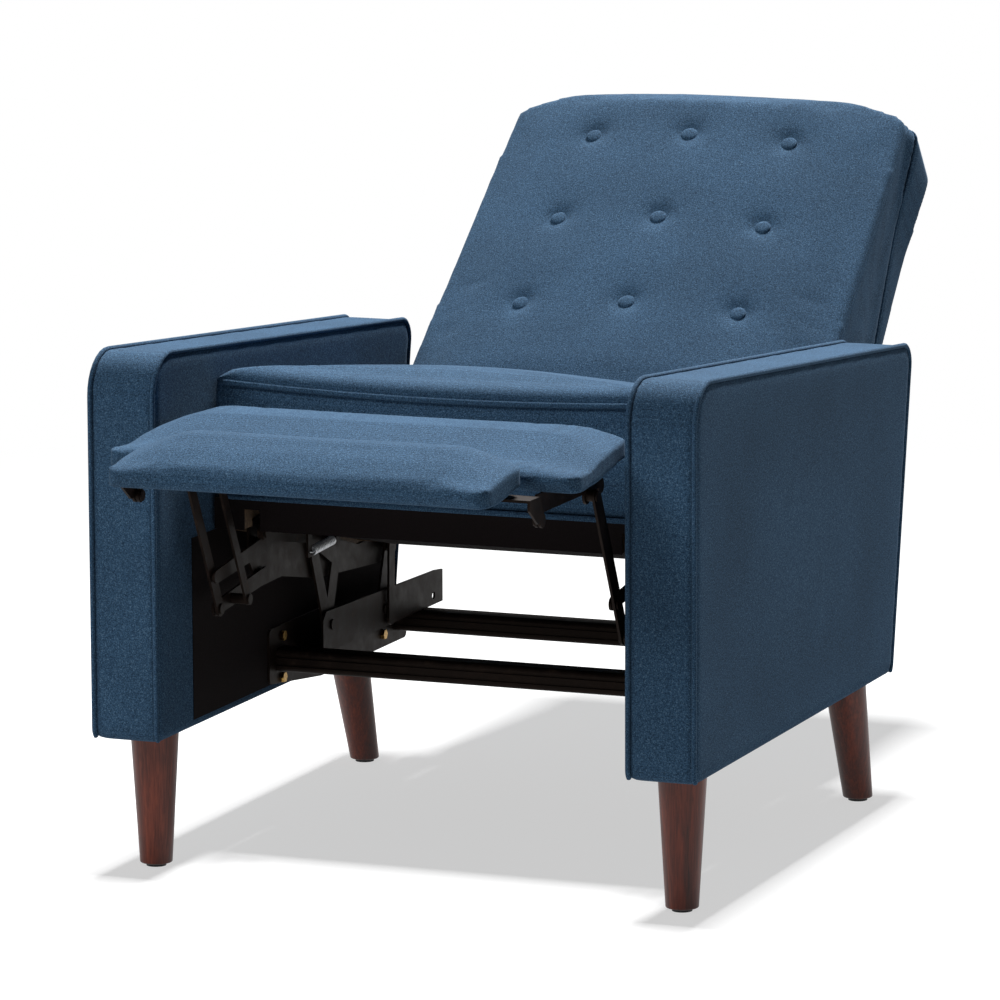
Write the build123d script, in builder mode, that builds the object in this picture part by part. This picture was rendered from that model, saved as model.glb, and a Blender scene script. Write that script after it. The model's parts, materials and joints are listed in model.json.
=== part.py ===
from build123d import *
import os
from math import sin, cos, radians, atan2, degrees, hypot

# Push-back recliner armchair, shown fully reclined with its legrest out.
# Millimetres.  +Z is up, the chair faces -Y, X = 0 is its mirror plane.
# While it is drawn, Y = 0 is the front face of the arms and Z = 0 the floor;
# at the end every piece is moved so that Y = 0 is midway between the foremost
# and the rearmost point.

# ------------------------------------------------------------------ sizes
chair_width = 760.0
arm_width = 86.0
arm_base_depth = 720.0        # along the bottom edge of an arm
arm_lean = 72.0               # how far the rear edge leans back over its height
arm_front_height = 630.0
arm_rear_height = 569.0
floor_gap = 164.0             # floor to the underside of the arms
arm_front_round = 50.0
arm_rear_round = 25.0
arm_foot_round = 15.0
arm_edge_round = 7.0

leg_inset = 45.0              # leg axis in from the outer side of the arm
front_leg_setback = 78.0
front_leg_top = 58.0          # diameters
front_leg_foot = 39.0
rear_leg_top = 52.0
rear_leg_foot = 37.0
rear_leg_setback = 2.0        # foot of the leg behind the arm's lower rear corner
rear_leg_splay = 55.0         # top of the leg stands this far forward of its foot
recess_width = 15.0           # oval bolt recess in the rear legs
recess_height = 30.0
recess_drop = 34.0            # its middle below the top of the leg
recess_depth = 16.0           # its floor ahead of the leg's axis at the top
glide_height = 4.0
glide_diameter = 24.0

panel_thickness = 1.0         # black cloth on the inner face of each arm
panel_front = 100.0
panel_top = 396.0

base_plate_thickness = 3.0
base_plate_front = 318.0
base_plate_past_tube = 27.0   # plate behind the rear tube
base_plate_low = 160.0
base_plate_high = 246.0
base_plate_step = 160.0       # length of its deeper front end
bolt_across = 13.0            # hexagon bolt heads, across the corners
bolt_head = 4.5

tube_height = 28.0
tube_depth = 34.0
tube_wall = 1.6
front_tube_y = 354.0
front_tube_z = 205.0
rear_tube_setback = 10.0      # behind the foot of the arm's rear edge
tube_groove = 2.2

plate = 3.0                   # thickness of every flat link and plate
layer_pitch = 5.5             # from one layer of the mechanism to the next
running = 0.08                # radial clearance of a pin in its hole
slack = 0.35                  # the same where the back link meets the back
lost_motion = 1.5             # and where the drive link takes the crank
side_gap = 0.3                # clearance beside a moving plate
rivet = 4.0                   # radius of a pivot pin
rivet_head = 6.5
head_thickness = 1.8

rail_height = 52.0            # fixed rail that carries the rockers
rail_low = 203.0
rail_front = 402.0
rail_past_tube = 63.0
rail_hole = 10.0

rocker_length = 85.0
rocker_lean = 19.0            # degrees back from upright, reclined
front_rocker_foot = (430.0, 236.0)
rear_rocker_foot = (600.0, 226.0)

seat_tilt = 10.5
seat_front = 158.0
seat_border_low = 437.0
seat_border_high = 579.0
seat_side_gap = 4.0           # between seat and arm
seat_crown = 34.0
seat_crown_run = 150.0        # depth over which the top rises from the front edge
seat_edge_round = 8.0
side_rail = 22.0              # timber between seat plate and seat side
wood = 22.0                   # thickness of the seat's timber rails
seat_rail_front_low = 400.0
seat_rail_rear_low = 300.0
seat_rail_rear = 604.0
rear_rail_setback = 60.0      # the crosswise rear rail ahead of the side rails' ends
dust_cloth = 1.0
notch_height = 24.0           # cut up into the front rail where the folded links pass
notch_gap = 5.0               # beside them

hinge_y = 645.0               # back hinge on the seat plate's post
hinge_z = 425.0
hinge_boss = 19.0
recline = 51.0                # degrees of the back from upright, reclined
back_face = 50.0              # crowned front face, ahead of the hinge
back_edge = 5.0               # the same at the side edges
back_side_gap = 14.0          # between back and arm
back_narrowing = 12.0         # each side, from the arms up to the top
back_tongue_gap = 11.0        # inside the seat plates, at the narrow lower end
back_tongue_top = 60.0
back_tongue_low = -60.0
back_shoulder = 618.0         # top edge at the corners, along the back
back_top = 636.0              # top edge in the middle
back_corner_round = 20.0
back_top_round = 52.0         # how far below the top edge the face starts to roll over
back_rear_top = -104.0        # rear face behind the hinge line, at the top
back_rear_low = -190.0        # and at its lower edge
back_low = 20.0
back_depth = 260.0            # more than the back is thick anywhere
button_diameter = 23.0
button_height = 5.0
button_rows = ((226.0, 146.0), (376.0, 138.5), (526.0, 133.5))

# pivots of the legrest linkage, each as (y, z)
lower_pivot = (242.0, 330.5)
long_link = (-90.0, 180.0)    # from its lower pivot to the pad bracket's pivot
pad_pivot = (5.0, 494.0)
link_spread = 48.0            # between the two parallel links
brace_step = 45.0             # between the long link and its brace
crank_radius = 21.9
crank_angle = 135.5
rocker_arm_radius = 127.9
rocker_arm_angle = 112.6
link_half = 8.0

back_link_foot = (609.1, 213.2)
back_tail_radius = 122.3
back_tail_angle = 254.0

pad_front = -146.0
pad_rear = 62.0
pad_side_gap = 11.0           # between the pad's front corners and the arms
pad_narrowing = 17.0          # each side, from the front to the rear edge
pad_low = 520.0
pad_high = 572.0
board = 12.0
board_inset = 20.0
pad_end_share = 0.7           # thickness of the ends, against the middle
pad_end_run = 80.0            # length over which they thin
pad_plan_round = 22.0
spring_radius = 5.2           # middle of the wire
spring_wire = 0.9             # radius of the wire
spring_coils = 14
spring_front = (300.0, 350.0) # where its front hook hangs
front_loop = 4.2              # radius of its front loop
join_gap = 0.05               # where the wire turns in from the coil
spring_lead = 3.0             # straight wire between coil and rear loop
spring_tab = 24.0             # width of the tab that holds it
flip_front = -276.0
flip_rear = -152.0
flip_inset = 44.0             # each end of the front pad inside the main one
flip_low = 519.0
flip_high = 568.0
flip_pivot = (-149.0, 490.0)
flip_flange = 32.0            # strip of the front pad's bracket under its board
flange_reach = 70.0

cushion_gap = 0.4

# ------------------------------------------------------------ worked out
half_width = chair_width / 2
arm_inner = half_width - arm_width
seat_half_width = arm_inner - seat_side_gap
outer_layer = seat_half_width - side_rail - plate             # inner face of the seat plates
back_half_low = arm_inner - back_side_gap
back_half_top = back_half_low - back_narrowing
back_half_tongue = outer_layer - back_tongue_gap
pad_half_front = arm_inner - pad_side_gap
pad_half_rear = pad_half_front - pad_narrowing
flip_half = pad_half_rear - flip_inset
rear_tube_y = arm_base_depth + rear_tube_setback
rear_leg_y = arm_base_depth + rear_leg_setback
base_plate_rear = rear_tube_y + base_plate_past_tube
rail_rear = rear_tube_y + rail_past_tube
leg_x = half_width - leg_inset
rear_tube_z = rail_low - tube_height / 2
layer = [outer_layer - n * layer_pitch for n in range(7)]   # inner faces
spring_x = layer[6] - 4.0                                     # inside every moving plate
cloth_half = spring_x - 2 * spring_radius
sides = (("left", -1), ("right", 1))


def polar(centre, radius, angle):
    return (centre[0] + radius * cos(radians(angle)), centre[1] + radius * sin(radians(angle)))


def plus(a, b, share=1.0):
    return (a[0] + share * b[0], a[1] + share * b[1])


def unit(a, b):
    length = hypot(b[0] - a[0], b[1] - a[1])
    return ((b[0] - a[0]) / length, (b[1] - a[1]) / length)


long_length = hypot(*long_link)
long_way = (long_link[0] / long_length, long_link[1] / long_length)
long_foot = plus(pad_pivot, long_link, -1)
upper_pivot = plus(lower_pivot, long_way, link_spread)
upper_end = plus(long_foot, long_way, link_spread)
link_way = unit(long_foot, lower_pivot)
brace_low = plus(long_foot, link_way, brace_step)
brace_high = plus(pad_pivot, link_way, brace_step)
crank_pin = polar(upper_pivot, crank_radius, crank_angle)
rocker_arm_pin = polar(front_rocker_foot, rocker_arm_radius, rocker_arm_angle)
rocker_way = (sin(radians(rocker_lean)), cos(radians(rocker_lean)))
front_seat_pin = plus(front_rocker_foot, rocker_way, rocker_length)
rear_seat_pin = plus(rear_rocker_foot, rocker_way, rocker_length)
hinge = (hinge_y, hinge_z)
tab_height = lower_pivot[1] + 57.5       # top of the spring tab, clear over the drive link
spring_hole = 2.4
rear_loop = rivet + spring_wire + side_gap
back_tail_pin = polar(hinge, back_tail_radius, back_tail_angle)

# the back's own directions: up along it, and out of its front face
back_up = (sin(radians(recline)), cos(radians(recline)))
back_out = (-back_up[1], back_up[0])


def on_back(u, n):
    """Side-view point at u up the back and n out of its front, from the hinge."""
    return (hinge_y + u * back_up[0] + n * back_out[0], hinge_z + u * back_up[1] + n * back_out[1])


def link(side, at, outline, holes=(), pins=(), loose=(), clearance=running):
    """Flat steel link in one layer: a hull round the (point, radius) pairs.

    holes are pivot points bored to run on a pin, loose ones with more clearance.
    Each pin is (point, layer): a rivet from this link through that layer, with a
    spacer collar up to the next plate and a head beyond it.
    """
    inner = layer[at]
    with BuildPart() as made:
        with BuildSketch(Plane.YZ.offset(side * inner)):
            for group in outline:
                with BuildSketch(mode=Mode.PRIVATE) as bar:
                    for point, radius in group:
                        with Locations(point):
                            Circle(radius)
                    make_hull()
                add(bar.sketch)
            for point in holes:
                with Locations(point):
                    Circle(rivet + running, mode=Mode.SUBTRACT)
            for point in loose:
                with Locations(point):
                    Circle(rivet + clearance, mode=Mode.SUBTRACT)
        extrude(amount=side * plate)
        for point, to_layer in pins:
            outward = to_layer < at
            start = inner + plate if outward else inner
            target = layer[to_layer] + (plate if outward else 0)
            near = layer[to_layer] - side_gap if outward else layer[to_layer] + plate + side_gap
            head = head_thickness if outward else -head_thickness
            tip = target + (side_gap if outward else -side_gap)
            with BuildSketch(Plane.YZ.offset(side * (start - (1 if outward else -1)))):
                with Locations(point):
                    Circle(rivet)
            extrude(amount=side * (tip - start + (1 if outward else -1)))
            with BuildSketch(Plane.YZ.offset(side * start)):
                with Locations(point):
                    Circle(rivet_head)
            extrude(amount=side * (near - start))
            with BuildSketch(Plane.YZ.offset(side * tip)):
                with Locations(point):
                    Circle(rivet_head)
            extrude(amount=side * head)
    return made.part


pieces = {}


def keep(name, part):
    part.label = name
    pieces[name] = part


# ------------------------------------------------------------------ arms
def nearest(corners, point):
    """The sketch corner that lies closest to a side-view point."""
    return min(corners, key=lambda corner: hypot(corner.X - point[0], corner.Y - point[1]))


arm_corners = ((0, floor_gap), (arm_base_depth, floor_gap),
               (arm_base_depth + arm_lean, arm_rear_height), (0, arm_front_height))
arm_rounds = (arm_foot_round, arm_foot_round, arm_rear_round, arm_front_round)

for name, side in sides:
    with BuildPart() as arm:
        with BuildSketch(Plane.YZ.offset(side * arm_inner)) as profile:
            Polygon(*arm_corners, align=None)
            for corner, radius in zip(arm_corners, arm_rounds):
                fillet(nearest(profile.vertices(), corner), radius)
        extrude(amount=side * arm_width)
        ends = arm.faces().filter_by(Axis.X)
        fillet(ends.edges(), arm_edge_round)
    keep(f"{name}_arm", arm.part)

    with BuildPart() as panel:
        with BuildSketch(Plane.YZ.offset(side * (arm_inner - panel_thickness))):
            Polygon((panel_front, floor_gap + 12), (arm_base_depth - 24, floor_gap + 12),
                    (arm_base_depth + 8, panel_top), (panel_front, panel_top), align=None)
        extrude(amount=side * panel_thickness)
    keep(f"{name}_arm_panel", panel.part)

# ------------------------------------------------------------------ legs
for name, side in sides:
    with BuildPart() as front_leg:
        with BuildSketch(Plane.XY.offset(floor_gap)):
            with Locations((side * leg_x, front_leg_setback)):
                Circle(front_leg_top / 2)
        with BuildSketch(Plane.XY.offset(glide_height)):
            with Locations((side * leg_x, front_leg_setback)):
                Circle(front_leg_foot / 2)
        loft()
        fillet(front_leg.faces().sort_by(Axis.Z)[0].edges(), 2)
    keep(f"front_{name}_leg", front_leg.part)

    with BuildPart() as rear_leg:
        with BuildSketch(Plane.XY.offset(floor_gap)):
            with Locations((side * leg_x, rear_leg_y - rear_leg_splay)):
                Circle(rear_leg_top / 2)
        with BuildSketch(Plane.XY.offset(glide_height)):
            with Locations((side * leg_x, rear_leg_y)):
                Circle(rear_leg_foot / 2)
        loft()
        fillet(rear_leg.faces().sort_by(Axis.Z)[0].edges(), 2)
        # oval recess of the leg bolt, in the front of the leg near its top
        with BuildSketch(Plane.XZ.offset(recess_depth - rear_leg_y + rear_leg_splay)):
            with Locations((side * leg_x, floor_gap - recess_drop)):
                Ellipse(recess_width / 2, recess_height / 2)
        extrude(amount=rear_leg_top, mode=Mode.SUBTRACT)
    keep(f"rear_{name}_leg", rear_leg.part)

with BuildPart() as glides:
    with BuildSketch():
        with Locations(*[(s * leg_x, y) for s in (-1, 1) for y in (front_leg_setback, rear_leg_y)]):
            Circle(glide_diameter / 2)
    extrude(amount=glide_height)
keep("foot_glides", glides.part)

# ------------------------------------------------- fixed steel in the base
plate_inner = arm_inner - panel_thickness - base_plate_thickness
web = layer[2]
for name, side in sides:
    with BuildPart() as base_plate:
        with BuildSketch(Plane.YZ.offset(side * plate_inner)) as outline:
            Polygon((base_plate_front, base_plate_low + 18), (base_plate_front, base_plate_high),
                    (base_plate_front + base_plate_step + 10, base_plate_high),
                    (base_plate_rear - 60, base_plate_high - 34),
                    (base_plate_rear, base_plate_high - 60), (base_plate_rear, base_plate_low),
                    (base_plate_front + base_plate_step, base_plate_low), align=None)
            fillet(outline.vertices(), 8)
        extrude(amount=side * base_plate_thickness)
    keep(f"{name}_base_plate", base_plate.part)

    with BuildPart() as rail:
        with BuildSketch(Plane.YZ.offset(side * web)) as outline:
            Polygon((rail_front, rail_low), (rail_rear, rail_low), (rail_rear, rail_low + 0.8 * rail_height),
                    (rail_rear - 24, rail_low + rail_height - 8), (rail_front + 10, rail_low + rail_height),
                    (rail_front, rail_low + rail_height - 10), align=None)
            for foot in (front_rocker_foot, rear_rocker_foot, back_link_foot):
                with Locations(foot):
                    Circle(rivet + running, mode=Mode.SUBTRACT)
            with Locations((rail_rear - 31, rail_low + 12)):
                Circle(rail_hole / 2, mode=Mode.SUBTRACT)
        extrude(amount=side * plate)
        with BuildSketch(Plane.XZ.offset(-rail_front)):
            with Locations((side * (web + plate_inner) / 2, rail_low + plate / 2)):
                Rectangle(plate_inner - web, plate)
        extrude(amount=-(rail_rear - rail_front - 20))
    keep(f"{name}_rail", rail.part)

for name, y, z in (("front_cross_tube", front_tube_y, front_tube_z), ("rear_cross_tube", rear_tube_y, rear_tube_z)):
    with BuildPart() as tube:
        with BuildSketch(Plane.YZ.offset(-plate_inner)) as section:
            with Locations((y, z)):
                RectangleRounded(tube_depth, tube_height, 6)
            with Locations((y - tube_depth / 2, z - 5), (y - tube_depth / 2, z + 5)):
                Rectangle(2 * tube_groove, 3, mode=Mode.SUBTRACT)
            with Locations((y, z)):
                RectangleRounded(tube_depth - 4 * tube_wall, tube_height - 2 * tube_wall, 4, mode=Mode.SUBTRACT)
        extrude(amount=2 * plate_inner)
    keep(name, tube.part)

# --------------------------------------------------------------- rockers
for name, side in sides:
    with BuildPart() as front_rocker:
        add(link(side, 1,
                 [[(front_rocker_foot, 12), (front_seat_pin, 12)],
                  [(front_seat_pin, 11), (rocker_arm_pin, 10)],
                  [(front_rocker_foot, 12), (rocker_arm_pin, 10)]],
                 pins=[(front_rocker_foot, 2), (front_seat_pin, 0), (rocker_arm_pin, 4)]))
        # stud that carries the spring's rear loop, with a head beyond it
        for radius, start, length in ((rivet, layer[4], layer[4] - spring_x + 2 * spring_wire),
                                      (rivet_head, spring_x - 2 * spring_wire, head_thickness)):
            with BuildSketch(Plane.YZ.offset(side * start)):
                with Locations(rocker_arm_pin):
                    Circle(radius)
            extrude(amount=-side * length)
    keep(f"{name}_front_rocker", front_rocker.part)
    keep(f"{name}_rear_rocker", link(
        side, 1, [[(rear_rocker_foot, 12), (rear_seat_pin, 11)]],
        pins=[(rear_rocker_foot, 2), (rear_seat_pin, 0)]))

# ------------------------------------------------------------------ seat
fall = sin(radians(seat_tilt)) / cos(radians(seat_tilt))
seat_height = (seat_border_high - seat_border_low) * cos(radians(seat_tilt))


def cushion_low(y):
    return seat_border_low - fall * (y - seat_front)


def cushion_high(y):
    """Top of the crown in the middle of the seat."""
    return seat_border_high + seat_crown - fall * (y - seat_front)


# the seat ends a little ahead of the back's face as it stands upright
upright = recline - 31.0
up_out = (-cos(radians(upright)), sin(radians(upright)))
up_way = (sin(radians(upright)), cos(radians(upright)))
seat_end = plus(hinge, up_out, back_face + 1.2)

with BuildPart() as seat_cushion:
    with BuildSketch(Plane(origin=(0, seat_front, seat_border_low), x_dir=(-1, 0, 0),
                           z_dir=(0, cos(radians(seat_tilt)), -sin(radians(seat_tilt))))) as section:
        with BuildLine():
            Polyline((-seat_half_width, seat_height), (-seat_half_width, 0), (seat_half_width, 0),
                     (seat_half_width, seat_height))
            ThreePointArc((seat_half_width, seat_height), (0, seat_height + seat_crown),
                          (-seat_half_width, seat_height))
        make_face()
    extrude(amount=hinge_y - seat_front + 60)
    extrude(section.sketch, amount=-60)
    with BuildSketch(Plane.YZ.offset(-seat_half_width)) as keep_profile:
        low = plus(seat_end, up_way, -70)
        high = plus(seat_end, up_way, 160)
        risen = seat_front + seat_crown_run
        with BuildLine():
            Polyline((seat_front, seat_border_high), (seat_front, seat_border_low), (low[0], cushion_low(low[0])),
                     low, high, (risen, cushion_high(risen)))
            ThreePointArc((risen, cushion_high(risen)),
                          (seat_front + seat_crown_run / 3, cushion_high(seat_front + seat_crown_run / 3)
                           - 0.36 * seat_crown), (seat_front, seat_border_high))
        make_face()
    extrude(amount=2 * seat_half_width, mode=Mode.INTERSECT)
keep("seat_cushion", seat_cushion.part)

# notches in the front rail and its cloth, for the folded links
notch_inner = layer[5] - head_thickness - notch_gap
notch_outer = layer[4] + plate + notch_gap
with BuildPart() as link_notches:
    for side in (-1, 1):
        with BuildSketch(Plane.XZ.offset(-seat_front)):
            with Locations((side * (notch_inner + notch_outer) / 2, seat_rail_front_low)):
                Rectangle(notch_outer - notch_inner, 2 * notch_height)
        extrude(amount=wood + 4, both=True)

with BuildPart() as seat_frame:
    top_front = cushion_low(seat_front)
    rail_end = seat_rail_rear
    rear_rail = rail_end - rear_rail_setback
    rear_rail_low = seat_rail_rear_low + 22
    for side in (-1, 1):
        with BuildSketch(Plane.YZ.offset(side * (outer_layer + plate))):
            Polygon((seat_front + 2, seat_rail_front_low), (seat_front + 2, cushion_low(seat_front + 2)),
                    (rail_end, cushion_low(rail_end)), (rail_end, seat_rail_rear_low), align=None)
        extrude(amount=side * (seat_half_width - outer_layer - plate))
    reach = outer_layer + plate
    with BuildSketch(Plane.YZ.offset(-reach)):
        Polygon((seat_front + 2, seat_rail_front_low), (seat_front + 2, cushion_low(seat_front + 2)),
                (seat_front + 2 + wood, cushion_low(seat_front + 2 + wood)),
                (seat_front + 2 + wood, seat_rail_front_low), align=None)
        Polygon((rear_rail, rear_rail_low), (rear_rail, cushion_low(rear_rail)),
                (rear_rail + wood, cushion_low(rear_rail + wood)),
                (rear_rail + wood, rear_rail_low), align=None)
    extrude(amount=2 * reach)
    add(link_notches.part, mode=Mode.SUBTRACT)
keep("seat_frame", seat_frame.part)

# black cloth stapled over the front of the seat box and hung under it
with BuildPart() as seat_dust_cloth:
    front_y = seat_front + 2 - dust_cloth - side_gap
    front_low = seat_rail_front_low - dust_cloth - side_gap
    with BuildSketch(Plane.YZ.offset(-seat_half_width)):
        Polygon((front_y, front_low), (front_y, cushion_low(front_y) - side_gap),
                (front_y + dust_cloth, cushion_low(front_y + dust_cloth) - side_gap),
                (front_y + dust_cloth, front_low), align=None)
    extrude(amount=2 * seat_half_width)
    with BuildSketch(Plane.YZ.offset(-cloth_half)):
        Polygon((front_y, front_low), (front_y, front_low + dust_cloth), (seat_front + 2 + wood, front_low + dust_cloth),
                (rear_rail, rear_rail_low - side_gap), (rear_rail + wood, rear_rail_low - side_gap),
                (rear_rail + wood, rear_rail_low - side_gap - dust_cloth),
                (rear_rail, rear_rail_low - side_gap - dust_cloth), (seat_front + 2 + wood, front_low), align=None)
    extrude(amount=2 * cloth_half)
    add(link_notches.part, mode=Mode.SUBTRACT)
keep("seat_dust_cloth", seat_dust_cloth.part)

for name, side in sides:
    with BuildPart() as seat_plate:
        with BuildSketch(Plane.YZ.offset(side * outer_layer)) as outline:
            Polygon(plus(lower_pivot, (-38, 67.5)), plus(lower_pivot, (-38, 21.5)), plus(lower_pivot, (-10, -14.5)),
                    plus(lower_pivot, (58, -12.5)), plus(front_seat_pin, (-46.7, -19.4)),
                    plus(rear_seat_pin, (-27.7, -22.4)), (hinge_y + hinge_boss, rear_seat_pin[1] - 16.4),
                    (hinge_y + hinge_boss, hinge_z), (hinge_y - hinge_boss, hinge_z),
                    (hinge_y - hinge_boss, rear_seat_pin[1] + 13.6), plus(rear_seat_pin, (-87.7, 11.6)),
                    plus(front_seat_pin, (22.3, 17.6)), plus(lower_pivot, (-2, 73.5)), align=None)
            fillet(outline.vertices(), 6)
            with Locations(hinge):
                Circle(hinge_boss)
            for point in (lower_pivot, upper_pivot, front_seat_pin, rear_seat_pin, hinge):
                with Locations(point):
                    Circle(rivet + running, mode=Mode.SUBTRACT)
        extrude(amount=side * plate)
        # tab bent inwards over the drive link, and its ear for the spring
        with BuildSketch(Plane.YZ.offset(side * (spring_x - plate / 2))):
            with Locations((spring_front[0], tab_height - plate / 2)):
                Rectangle(spring_tab, plate)
        extrude(amount=side * (outer_layer + plate - spring_x + plate / 2))
        with BuildSketch(Plane.YZ.offset(side * (spring_x - plate / 2))):
            with Locations((spring_front[0], (tab_height + spring_front[1] - 6) / 2)):
                Rectangle(spring_tab / 2, tab_height - spring_front[1] + 6)
            with Locations(spring_front):
                Circle(spring_hole, mode=Mode.SUBTRACT)
        extrude(amount=side * plate)
    keep(f"{name}_seat_plate", seat_plate.part)

# springs from that ear to the stud on the front rocker's arm
spring_way = unit(spring_front, rocker_arm_pin)
spring_length = hypot(rocker_arm_pin[0] - spring_front[0], rocker_arm_pin[1] - spring_front[1])
coil_start = plus(spring_front, spring_way, 2 * front_loop)
coil_length = spring_length - 2 * front_loop - rear_loop - spring_lead
with BuildPart() as springs:
    for side in (-1, 1):
        along = (0, *spring_way)
        foot, head = [(side * spring_x, *plus(coil_start, spring_way, far)) for far in (0, coil_length)]
        with BuildLine():
            coil = Helix(coil_length / spring_coils, coil_length, spring_radius, center=foot, direction=along)
        with BuildSketch(Plane(origin=coil @ 0, z_dir=coil % 0)):
            Circle(spring_wire)
        sweep(path=coil, is_frenet=True)
        # the wire turns in to the spring's own axis, then into a loop: the front
        # one hangs through the ear, the rear one lies round the stud
        for end, point in ((foot, coil @ 0), (head, coil @ 1)):
            with BuildSketch(Plane(origin=end, z_dir=point - Vector(*end))):
                Circle(spring_wire)
            extrude(amount=spring_radius - spring_wire - join_gap)
        with BuildSketch(Plane(origin=head, z_dir=along)):
            Circle(spring_wire)
        extrude(amount=spring_lead)
        for centre, radius, turned, axis in (
                (plus(spring_front, spring_way, front_loop), front_loop, (-side, 0, 0), (0, -spring_way[1], spring_way[0])),
                (rocker_arm_pin, -rear_loop, (0, -spring_way[1], spring_way[0]), (1, 0, 0))):
            middle_point = (side * spring_x, *centre)
            with BuildSketch(Plane(origin=(side * spring_x, *plus(centre, spring_way, radius)), z_dir=turned)):
                Circle(spring_wire)
            revolve(axis=Axis(middle_point, axis))
keep("springs", springs.part)

# --------------------------------------------------------- legrest links
for name, side in sides:
    keep(f"{name}_lower_link", link(
        side, 1, [[(lower_pivot, 10), (long_foot, link_half + 1)]],
        pins=[(lower_pivot, 0), (long_foot, 2), (brace_low, 5)]))
    keep(f"{name}_upper_link", link(
        side, 3, [[(upper_pivot, 10), (upper_end, link_half)], [(upper_pivot, 10), (crank_pin, 8)]],
        pins=[(upper_pivot, 0), (upper_end, 2), (crank_pin, 4)]))
    keep(f"{name}_long_link", link(
        side, 2, [[(long_foot, link_half + 1), (pad_pivot, link_half)]],
        holes=[long_foot, upper_end, pad_pivot]))
    keep(f"{name}_brace_link", link(
        side, 5, [[(brace_low, 7), (brace_high, 7)]], holes=[brace_low, brace_high]))
    keep(f"{name}_drive_link", link(
        side, 4, [[(crank_pin, 9.5), (rocker_arm_pin, 8)]], holes=[rocker_arm_pin],
        loose=[crank_pin], clearance=lost_motion))

# --------------------------------------------------------------- legrest
def pad(front, rear, half_front, half_rear, low, high, name):
    """A loaf of foam: tapering plan, rounded side profile and thinned ends, and the board sunk in its underside."""
    height = high - low
    with BuildPart() as body:
        with BuildSketch(Plane.XY.offset(low)) as outline:
            Polygon((-half_front, front), (half_front, front), (half_rear, rear), (-half_rear, rear), align=None)
            fillet(outline.vertices(), pad_plan_round)
        extrude(amount=height)
        # side profile: a low blunt nose in front, the crest behind the middle
        deep = rear - front
        with BuildSketch(Plane.YZ.offset(-half_front)):
            with BuildLine():
                Spline((front, low + 0.3 * height), (front + 0.2 * deep, low + 0.8 * height),
                       (front + 0.62 * deep, high), (rear, low + 0.6 * height), tangents=((0.15, 1), (0.1, -1)))
                Polyline((rear, low + 0.6 * height), (rear, low + 0.15 * height), (rear - 0.15 * height, low),
                         (front + 0.2 * height, low), (front, low + 0.3 * height))
            make_face()
        extrude(amount=2 * half_front, mode=Mode.INTERSECT)
        # front view: the ends thin a little towards the corners
        thin = low + pad_end_share * height
        with BuildSketch(Plane.XZ.offset(-rear)):
            with BuildLine():
                Polyline((-half_front, thin), (-half_front, low), (half_front, low), (half_front, thin))
                for way in (1, -1):
                    ThreePointArc((way * half_front, thin),
                                  (way * (half_front - 0.4 * pad_end_run), high - 0.3 * (high - thin)),
                                  (way * (half_front - pad_end_run), high + 2))
                Polyline((half_front - pad_end_run, high + 2), (-half_front + pad_end_run, high + 2))
            make_face()
        extrude(amount=deep, mode=Mode.INTERSECT)
        with BuildSketch(Plane.XY.offset(low)):
            with Locations((0, (front + rear) / 2)):
                Rectangle(2 * (half_rear - board_inset), rear - front - 2 * board_inset)
        extrude(amount=board, mode=Mode.SUBTRACT)
    keep(f"{name}_pad", body.part)
    with BuildPart() as panel:
        with BuildSketch(Plane.XY.offset(low)):
            with Locations((0, (front + rear) / 2)):
                Rectangle(2 * (half_rear - board_inset), rear - front - 2 * board_inset)
        extrude(amount=board)
    keep(f"{name}_board", panel.part)


pad(pad_front, pad_rear, pad_half_front, pad_half_rear, pad_low, pad_high, "legrest")
pad(flip_front, flip_rear, flip_half, flip_half, flip_low, flip_high, "flipper")

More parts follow.
